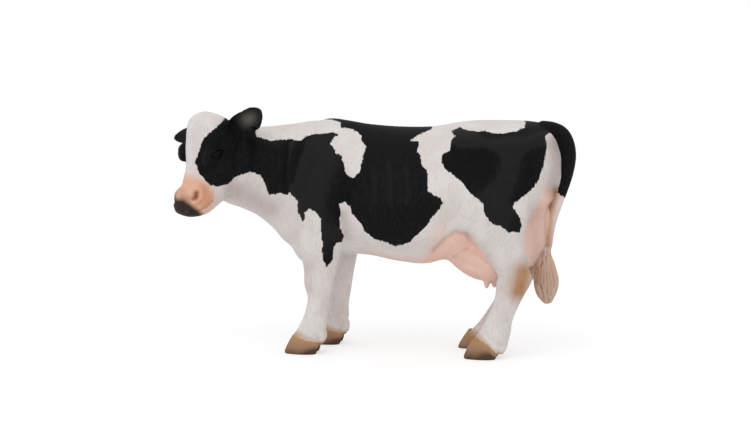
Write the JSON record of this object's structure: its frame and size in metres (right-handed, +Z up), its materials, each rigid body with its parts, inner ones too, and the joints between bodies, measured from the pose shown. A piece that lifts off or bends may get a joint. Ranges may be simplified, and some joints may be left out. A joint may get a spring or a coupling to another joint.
{
  "type": "toy farm animal figure",
  "caption": "Standing hornless dairy cow toy figure, head turned to its left, built from a split hollow barrel with plugged-in head, neck, legs, ears, udder and tail.",
  "frame": {"origin": "middle of the figure's box on the ground plane it stands on", "axes": "+Z up, head towards -X and tail towards +X, the cow's left side towards -Y"},
  "size_m": [0.136, 0.039, 0.0833],
  "materials": {
    "coat": "off-white moulded vinyl with painted black patches, engraved short hair, matt to satin",
    "ear": "black painted vinyl, matt, beige inside the cup",
    "udder": "pink painted vinyl, matt"
  },
  "bodies": {
    "root": {"head": "coat", "left_ear": "ear", "right_ear": "ear", "neck": "coat", "trunk_left_shell": "coat", "trunk_right_shell": "coat", "left_foreleg": "coat", "right_foreleg": "coat", "left_hind_leg": "coat", "right_hind_leg": "coat", "udder": "udder", "tail": "coat"}
  },
  "joints": []
}
